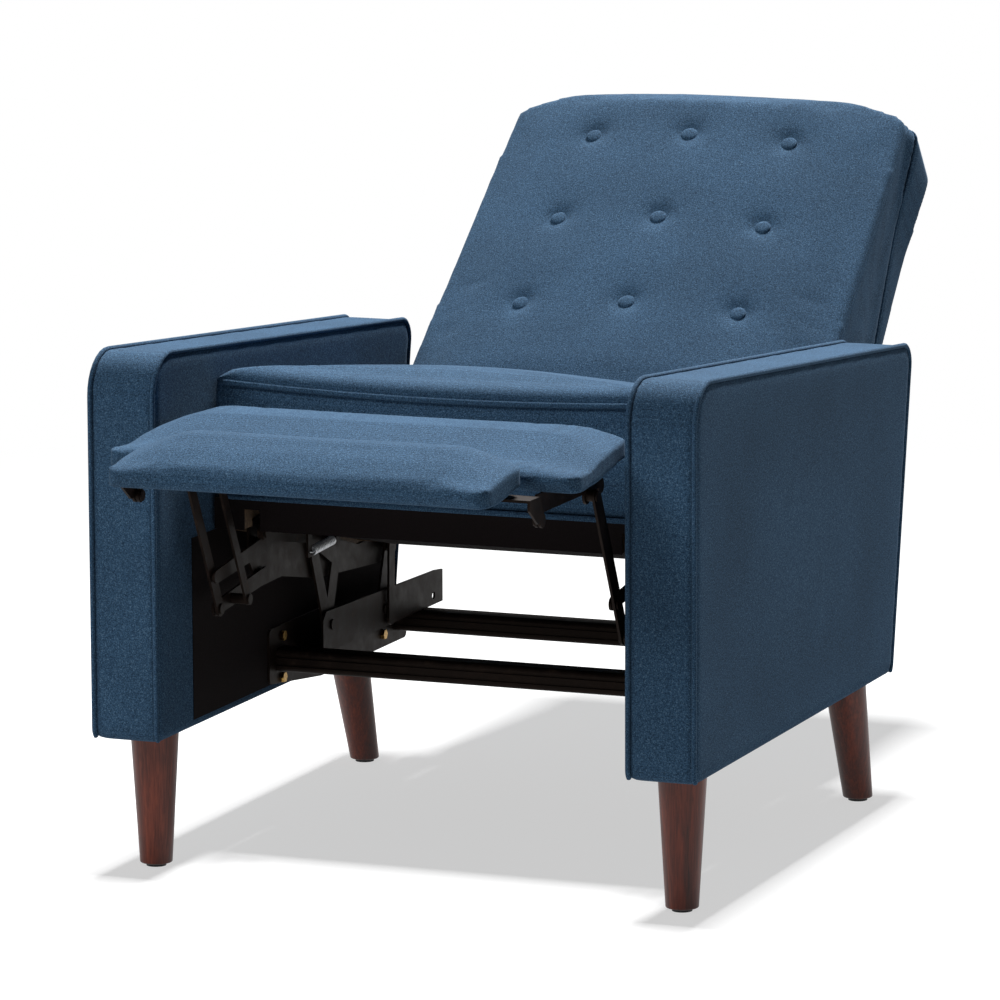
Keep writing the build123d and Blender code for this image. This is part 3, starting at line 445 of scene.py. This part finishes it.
arm_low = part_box("left_arm")[0].z
arm_corners = [(arm_front, arm_low), (arm_front + 720 * mm, arm_low), (arm_front + 792 * mm, 569 * mm),
               (arm_front, 630 * mm)]
arm_outline = rounded_outline(arm_corners, [15 * mm, 15 * mm, 25 * mm, 50 * mm])
lowest = int(np.argmin(arm_outline[:, 1] + arm_outline[:, 0] * 1e-3))
arm_seam = np.roll(arm_outline, -lowest, axis=0)
arm_seam = arm_seam[arm_seam[:, 1] > arm_low + 3 * mm]       # open at the bottom, where the band is stapled
print("arm seam of", len(arm_seam), "points")

# %% [markdown]
# The outer panel of an arm is not quite flat: its padding lets it bulge 1.2 mm in the middle.

# %% Arm covers and their piping
arm_bulge, arm_welt_radius, arm_welt_inset = 1.2 * mm, 3.0 * mm, 2.6 * mm
for name, side in (("left", -1), ("right", 1)):
    low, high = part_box(f"{name}_arm")
    arm = soft_copy(f"{name}_arm", f"{name}_arm_cover", voxel=0.0065, pressure=0)
    where = points_of(arm)
    middle_x = (low.x + high.x) / 2
    y0, z0 = (where[:, 1] - arm_front) / 0.75, (where[:, 2] - 0.164) / 0.45      # 0 to 1 along and up the panel
    bulge = arm_bulge * np.clip(4 * y0 * (1 - y0), 0, 1) * np.clip(4 * z0 * (1 - z0), 0, 1)
    where[:, 0] += np.where((where[:, 0] - middle_x) * side > 0, side * bulge, 0)
    set_points(arm, where)
    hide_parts(f"{name}_arm")
    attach(arm, "frame")
    # piping up the front, over the top and down the back, on both sides of the band
    for edge, x in (("inner", low.x if side > 0 else high.x), ("outer", high.x if side > 0 else low.x)):
        at_x = np.full(len(arm_seam), x + np.sign(middle_x - x) * arm_welt_inset)
        piping(f"{name}_arm_{edge}_piping", np.column_stack([at_x, arm_seam]), arm_welt_radius, "frame")

# %% [markdown]
# ## Seat
# The seat is a firm foam block in a boxed cover: a crowned top panel, a plain front border, and piping between them.
# Its seams are worked out first, because both the swelling and the piping follow them.

# %% Seams of the seat
seat_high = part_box("seat_cushion")[1]


def seat_top(y):
    """Height of the boxed edge, y metres behind the arms' front: it falls 10.5 degrees towards the back."""
    return 0.579 - np.tan(radians(10.5)) * (y - 0.158)


edge_x, front_y, turn_r = seat_high.x - 3.5 * mm, 158 * mm + 2.5 * mm, 16 * mm
side_points, front_points = 40, 60
turn = np.linspace(0, pi / 2, 9)
side_run = np.stack([np.full(side_points, edge_x), np.linspace(0.600, front_y + turn_r, side_points)], -1)
turn_run = np.stack([edge_x - turn_r + turn_r * np.cos(turn), front_y + turn_r - turn_r * np.sin(turn)], -1)
front_run = np.stack([np.linspace(edge_x - turn_r, -edge_x + turn_r, front_points), np.full(front_points, front_y)], -1)
half_seam = np.concatenate([side_run, turn_run[1:]])
flat = np.concatenate([half_seam, front_run[1:-1], half_seam[::-1] * [-1, 1]])


def seat_sag(x, y):
    """How far the top of the front border sags: 9 mm in the middle, 0 at the corners and 0.2 m further back."""
    return 0.009 * (1 - np.clip(x / edge_x, -1, 1) ** 2) * np.exp(-((y - front_y) / 0.10) ** 2)


def seat_seam(line, drop, sags):
    """The flat line (x, y) laid drop below the boxed edge, and lowered by sags times the front edge's sag."""
    height = seat_top(line[:, 1]) - drop - 1.5 * mm - sags * seat_sag(line[:, 0], line[:, 1])
    return np.stack([line[:, 0], line[:, 1] + arm_front, height], -1)


border_height, rear_points_left_out = 139 * mm, 30
lower = flat[rear_points_left_out:-rear_points_left_out]
seat_seams = {"seat_upper_piping": seat_seam(flat, 0.0, 1.0), "seat_lower_piping": seat_seam(lower, border_height, 0.0)}
print("seat seams of", [len(path) for path in seat_seams.values()], "points")


# %% [markdown]
# The cloth solver swells the top and, half as much, the front border; the seams and the flanks between the arms stay.
# Afterwards the top puffs up 11 mm next to its seam, 22 mm inside it, and the border is drawn in by the piping.

# %% Seat cushion
def seat_free(where):
    """1 in the middle of a panel, 0 at its seams, on the flanks and underneath; half as much on the front border."""
    y = where[:, 1] - arm_front
    on_top = smoothstep((where[:, 2] - seat_top(y) + seat_sag(where[:, 0], y) + 0.004) / 0.006)
    away = smoothstep(seam_distance(where, seat_seams.values()) / 0.060)
    flank = smoothstep((edge_x - np.abs(where[:, 0])) / 0.012)
    border = 0.5 * smoothstep((front_y + 0.030 - y) / 0.020) * smoothstep((y - front_y + 0.030) / 0.010)
    return away * flank * np.maximum(on_top, border)


def seat_shape(where):
    """Lowers the front edge by its sag; the lower 50 mm of the border stay."""
    y = where[:, 1] - arm_front
    where[:, 2] -= seat_sag(where[:, 0], y) * smoothstep((where[:, 2] - seat_top(y) + 0.100) / 0.080)
    return where


seat_puff, puff_at, seat_welt_radius = 11 * mm, 22 * mm, 3.4 * mm
seat = soft_copy("seat_cushion", "seat_cover", voxel=0.0055, cap=0.006, free=seat_free, shape=seat_shape)
where = points_of(seat)
y = where[:, 1] - arm_front
away = seam_distance(where, seat_seams.values())
edge = seat_top(y) - seat_sag(where[:, 0], y)
on_top = smoothstep((where[:, 2] - edge + 0.002) / 0.004) * smoothstep((edge_x + 0.002 - np.abs(where[:, 0])) / 0.004)
where[:, 2] += on_top * seat_puff * away / puff_at * np.exp(1 - away / puff_at)
in_front = smoothstep((front_y + 0.012 - y) / 0.008) * (where[:, 2] < edge - 0.003)
where[:, 1] += in_front * (0.0055 * np.exp(-(away / 0.010) ** 2) + 0.0015)
set_points(seat, where)
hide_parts("seat_cushion")
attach(seat, "seat")
for name, path in seat_seams.items():
    piping(name, path, seat_welt_radius, "seat")

# %% [markdown]
# ## Back
# The back is a thick cushion, crowned across, with nine covered buttons pulled into it, and an outer back behind.
# It leans 51 degrees in this pose, so its shape is worked out along three lines of its own: u up the back from its
# hinge, out of its plane towards the sitter, and x across.

# %% Lines of the back
hinge = Vector(joints["back_turn"]["pos_m"])
tilt = radians(51.0)
up_back = np.array([0.0, sin(tilt), cos(tilt)])
out_back = np.array([0.0, -cos(tilt), sin(tilt)])
button_rows = ((0.226, 0.146), (0.376, 0.1385), (0.526, 0.1335))      # height u, and distance of the outer buttons
top_half = 0.268                                                       # half the width of the back's top


def rear_of(u):
    """How far behind the hinge line the cushion's rear seam lies."""
    return -0.1148 + (u - 0.326) * 0.331


def droop(u, x, out):
    """How much lower the top edge lies off its middle, fading out 0.19 m below the top.

    It grows with the square of the distance x, up to 21 mm at the left front corner, which has settled most, 10 mm at
    the right one and 3 mm at the rear corners.
    """
    front = smoothstep((out + 0.030) / 0.024)
    return smoothstep((u - 0.45) / 0.19) * (0.003 + np.where(x < 0, 0.018, 0.007) * front) * (np.abs(x) / top_half) ** 2


def flare(u, x, out):
    """How much wider the rear edge stands: up to 9 mm at the top corners, nothing 0.16 m below them."""
    behind = smoothstep((rear_of(u) + 0.020 - out) / 0.018)
    share = np.clip(np.abs(x) / top_half, 0, 1) ** 4
    return np.sign(x) * 0.009 * behind * smoothstep((u - 0.46) / 0.14) * share


def back_line(out_at, inset):
    """Seam along the back's edge: up one side, round the corner, along the arched top and down the other side.

    The top arches by 18 mm times (x / top_half) squared.  The corner is a quadratic curve:
    (1 - a)² start + 2a (1 - a) knee + a² end.
    """
    u = np.linspace(0.075, 0.600, 40)
    side = 0.280 - 0.012 * (u - 0.060) / 0.558 - inset
    x_top = np.linspace(0.250, 0.0, 24)
    top = 0.636 - 0.018 * (x_top / top_half) ** 2 - inset
    a = np.linspace(0, 1, 10)[1:-1, None]
    start, end = np.array([side[-1], u[-1]]), np.array([x_top[0], top[0]])
    knee = np.array([top_half - inset, top[0] - 0.001])
    bend = (1 - a) ** 2 * start + 2 * a * (1 - a) * knee + a ** 2 * end
    half = np.concatenate([np.stack([side, u], -1), bend, np.stack([x_top, top], -1)])
    both = np.concatenate([half, (half * [-1, 1])[::-1][1:]])
    across, u, out = both[:, 0], both[:, 1], out_at(both[:, 1])
    u_low, wide = u - droop(u, across, out), across + flare(u, across, out)
    return np.array(hinge) + wide[:, None] * [1, 0, 0] + u_low[:, None] * up_back + out[:, None] * out_back


back_seams = {"back_front_seam": back_line(lambda u: np.full(len(u), -0.006), 0.0016),
              "back_rear_seam": back_line(rear_of, 0.0014)}
print("back seams of", [len(path) for path in back_seams.values()], "points")


# %% [markdown]
# The front panel of the cushion swells between its seams, and the nine buttons then pull it in: a narrow dimple
# 4.5 mm deep round each, in a wide one of 2.5 mm.

# %% How the back may swell
def in_back(where):
    """Distance along the back, out of its hinge plane and across, of each point."""
    local = where - np.array(hinge)
    return local @ up_back, local @ out_back, local[:, 0]


def back_free(where):
    """1 in the middle of the front panel, 0 at the seams, behind and in the narrow lower end; a third on the sides."""
    u, out, x = in_back(where)
    away = smoothstep(seam_distance(where, back_seams.values()) / 0.080)
    behind = smoothstep((out - rear_of(u) - 0.012) / 0.02)
    side = np.where(out < -0.004, 0.33, 1.0)
    return away * behind * side * smoothstep((u - 0.07) / 0.06)


def back_shape(where):
    """Lets the top edge droop towards its corners and flares the rear edge."""
    u, out, across = in_back(where)
    moved = where - droop(u, across, out)[:, None] * up_back
    moved[:, 0] += flare(u, across, out)
    return moved


# %% Back cushion, drawn in by its buttons
dimples = ((0.0045, 0.017), (0.0025, 0.050))       # depth and radius
back_welt_radius = 2.0 * mm
back = soft_copy("back_cushion", "back_cover", voxel=0.006, cap=0.007, free=back_free, shape=back_shape)
where = points_of(back)
u, out, across = in_back(where)
pull = np.zeros(len(where))
for row, half in button_rows:
    for x in (-half, 0.0, half):
        reach = np.hypot(u - row, across - x)
        pull += np.where(out > -0.01, sum(depth * np.exp(-(reach / radius) ** 2) for depth, radius in dimples), 0)
set_points(back, where - pull[:, None] * out_back)
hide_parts("back_cushion")
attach(back, "backrest")
for name, path in back_seams.items():
    piping(name, path, back_welt_radius, "backrest")

# %% Outer back
rear = soft_copy("outer_back", "outer_back_cover", voxel=0.0045, pressure=0, relax=5, shape=back_shape)
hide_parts("outer_back")
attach(rear, "backrest")

# %% [markdown]
# A covered button is a low dome of sheet metal with the same cloth pressed over it. One dome is worked out as rings of
# points and set nine times on the crowned panel, just inside its dimple.

# %% Covered buttons
def dome(radius, height, rows=9, around=28):
    """Covered button: r = radius·sin(t)^0.8, z = height·cos(t)^0.7, t from the top to the rim; a flat underside."""
    t = np.linspace(0.0, pi / 2, rows)[1:]
    r = radius * np.sin(t) ** 0.8
    z = height * np.abs(np.cos(t)) ** 0.7
    r, z = np.append(r, radius * 0.6), np.append(z, -0.002)
    a = np.linspace(0, 2 * pi, around, endpoint=False)
    ring = np.stack([r[:, None] * np.cos(a), r[:, None] * np.sin(a), np.repeat(z[:, None], around, 1)], -1)
    points = np.vstack([[0, 0, height], ring.reshape(-1, 3), [0, 0, -0.002]])
    n = len(r)
    faces = [[0, 1 + k, 1 + (k + 1) % around] for k in range(around)]
    for i in range(n - 1):
        faces += [[1 + i * around + k, 1 + (i + 1) * around + k, 1 + (i + 1) * around + (k + 1) % around,
                   1 + i * around + (k + 1) % around] for k in range(around)]
    last = 1 + (n - 1) * around
    faces += [[len(points) - 1, last + (k + 1) % around, last + k] for k in range(around)]
    return points, faces


cap_points, cap_faces = dome(0.0114, 0.0040)
crown, crown_half, seat_in = 0.050, 0.280, 0.0035       # the panel's height, its half width, the button's depth in it
button_axes = np.stack([[1, 0, 0], up_back, out_back], -1)
every_point, every_face = [], []
for row, half in button_rows:
    for x in (-half, 0.0, half):
        out = crown - 0.045 * (x / crown_half) ** 2 - seat_in
        centre = np.array(hinge) + row * up_back + out * out_back + np.array([x, 0, 0])
        every_face += [[index + len(every_point) * len(cap_points) for index in face] for face in cap_faces]
        every_point.append(cap_points @ button_axes.T + centre)
buttons = mesh_object("covered_buttons", np.concatenate(every_point), every_face, tweed)
outward(buttons)
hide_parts("back_buttons")
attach(buttons, "backrest")
print(len(every_point), "buttons")

# %% [markdown]
# ## Legrest pads
# The main pad and the smaller front pad are loaf-shaped: foam on a board, with cloth pulled round it. The cloth is
# folded under at the ends, which makes them thin there, and the main pad slopes down towards the front pad.

# %% Thin ends of a pad
def wedge_ends(where, low, high, taper, wider):
    """Draws a pad's ends down to thin tips that reach a little further out, and lifts their rear underside.

    e runs from 0, 85 mm inside the end, to 1 at it; tops fall by 11 mm times e squared, rear undersides rise by 12 mm.
    """
    share = np.clip((where[:, 2] - low.z) / (high.z - low.z), 0, 1)
    back = np.clip((where[:, 1] - low.y) / (high.y - low.y), 0, 1)
    half = high.x - taper * back
    e = np.clip(1 - (half - np.abs(where[:, 0])) / 0.085, 0, 1)
    underside = (1 - share) * 0.012 * e ** 3 * smoothstep((back - 0.25) / 0.75)
    where[:, 2] += underside - share * 0.011 * e ** 2
    where[:, 0] += np.sign(where[:, 0]) * wider * e
    where[:, 1] += (back - 0.5) * 0.008 * e
    return where


# %% Legrest and flipper pads
for node, body, taper, wider in (("legrest_pad", "legrest", 0.017, 0.008), ("flipper_pad", "flipper", 0.0, 0.009)):
    low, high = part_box(node)

    def pad_free(where):
        """1 on the middle of the top, 0 underneath and 15 mm from the ends."""
        from_end, from_board = high.x - 0.015 - np.abs(where[:, 0]), where[:, 2] - low.z - 0.006
        return smoothstep(from_end / 0.05) * smoothstep(from_board / 0.02)

    cushion = soft_copy(node, node.replace("pad", "cover"), voxel=0.0045, cap=0.004, relax=1, free=pad_free)
    where = points_of(cushion)
    share = smoothstep((where[:, 2] - low.z - 0.010) / 0.035)
    y = where[:, 1] - arm_front
    if node == "legrest_pad":      # slopes down towards the valley before the front pad, with its crest far back
        where[:, 2] -= share * (0.005 + 0.011 * np.exp(-((y + 0.100) / 0.045) ** 2))
    else:                          # rolls over from a high crest to the nose in one round
        crest, nose = np.exp(-((y + 0.182) / 0.030) ** 2), np.exp(-((y + 0.258) / 0.024) ** 2)
        where[:, 2] += share * (0.005 * crest - 0.008 * nose)
    set_points(cushion, wedge_ends(where, low, high, taper, wider))
    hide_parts(node)
    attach(cushion, body)

# %% [markdown]
# ## Springs
# The two springs stretch when the chair closes: their front loops stay on the seat's ears and their rear loops
# follow the rockers' studs. Here the same coils are copied once, baked in place and left on no body.

# %% Springs, copied in place
coils = bpy.data.objects.new("stretching_springs", frame["nodes"]["springs"].data.copy())
bpy.context.collection.objects.link(coils)
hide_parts("springs")
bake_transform(coils)

# %% [markdown]
# ## Room
# A pale floor with soft light from above and the left. Close to the chair the floor shows its shadow; further out it
# turns to plain white, which also fills the background.

# %% Floor
floor_paint, tree, shader, where = material("studio_floor")
shader.inputs["Roughness"].default_value = 0.9
shader.inputs["Specular IOR Level"].default_value = 0.1
spread = add(tree, "ShaderNodeVectorMath", operation="LENGTH", links={"Vector": where})
fade = add(tree, "ShaderNodeMapRange", {"From Min": 0.9, "From Max": 3.0, "To Min": 0.58, "To Max": 1.0},
           {"Value": spread.outputs["Value"]}, interpolation_type="SMOOTHSTEP")
glow = add(tree, "ShaderNodeEmission", {"Color": (1, 1, 1, 1), "Strength": 1.0})
ray = add(tree, "ShaderNodeLightPath").outputs
paint = add(tree, "ShaderNodeMix", {"A": linear("#9a9a9a"), "B": linear("#fafafa")}, {"Factor": ray["Is Camera Ray"]},
            data_type="RGBA")
tree.links.new(paint.outputs["Result"], shader.inputs["Base Color"])
seen = add(tree, "ShaderNodeMath", links={0: ray["Is Camera Ray"], 1: ray["Is Glossy Ray"]}, operation="MAXIMUM")
seen_all = add(tree, "ShaderNodeMath", links={0: seen.outputs["Value"], 1: ray["Is Transmission Ray"]},
               operation="MAXIMUM")
white = add(tree, "ShaderNodeMath", links={0: seen_all.outputs["Value"], 1: fade.outputs["Result"]},
            operation="MULTIPLY")
both = add(tree, "ShaderNodeMixShader",
           links={"Fac": white.outputs["Value"], 1: shader.outputs["BSDF"], 2: glow.outputs["Emission"]})
end = next(n for n in tree.nodes if n.type == "OUTPUT_MATERIAL")
tree.links.new(both.outputs["Shader"], end.inputs["Surface"])
reach = 60.0
floor = mesh_object("studio_floor", [(-reach, -reach, 0), (reach, -reach, 0), (reach, reach, 0), (-reach, reach, 0)],
                    [[0, 1, 2, 3]], floor_paint, smooth=False)
print("floor", 2 * reach, "m wide")

# %% [markdown]
# ## Light
# A large square lamp high behind lights the tops, a smaller one in front on the left the faces, and a weak even world
# fills the rest. A third lamp shines on the floor alone, from right above, and gives the chair its soft shadow. The
# two pads stand clear of the floor and are kept out of that shadow.

# %% Light
world = bpy.data.worlds.new("studio")
bpy.context.scene.world = world
world.use_nodes = True
tree = world.node_tree
sky = next(n for n in tree.nodes if n.type == "BACKGROUND")
sky.inputs["Color"].default_value = (1, 1, 1, 1)
ray = add(tree, "ShaderNodeLightPath")
strength = add(tree, "ShaderNodeMapRange", {"To Min": 0.09, "To Max": 1.0}, {"Value": ray.outputs["Is Camera Ray"]})
tree.links.new(strength.outputs["Result"], sky.inputs["Strength"])


def linked(name, pieces, state):
    """A collection that tells a lamp which pieces it lights, or which of them cast its shadow."""
    made = bpy.data.collections.new(name)
    for piece in pieces:
        made.objects.link(piece)
    for entry in made.collection_objects:
        entry.light_linking.link_state = state
    return made


def lamp(name, place, aim, width, power, lights, casts=None):
    """A square area light at place, turned to shine at aim; lights and casts are light-linking collections."""
    data = bpy.data.lights.new(name, "AREA")
    data.shape, data.size, data.energy = "SQUARE", width, power
    made = bpy.data.objects.new(name, data)
    bpy.context.collection.objects.link(made)
    made.location = place
    made.rotation_euler = (Vector(aim) - Vector(place)).to_track_quat("-Z", "Y").to_euler()
    made.light_linking.receiver_collection = lights
    if casts:
        made.light_linking.blocker_collection = casts


not_floor = linked("all_but_the_floor", [floor], "EXCLUDE")
only_floor = linked("only_the_floor", [floor], "INCLUDE")
legrest_pieces = [bpy.data.objects[name] for name in ("legrest_cover", "flipper_cover")]
legrest_pieces += [frame["nodes"][name] for name in ("legrest_board", "flipper_board")]
no_legrest = linked("all_but_the_pads", legrest_pieces, "EXCLUDE")
lamp("key", (-2.0, -2.9, 3.0), (0, 0, 0.5), 2.0, 88, not_floor)
lamp("top", (0.0, 6.0, 8.8), (0, 0.1, 0.4), 3.2, 2900, not_floor)
lamp("floor", (-0.1, 0.1, 9.0), (0, 0.1, 0), 1.6, 1900, only_floor, no_legrest)
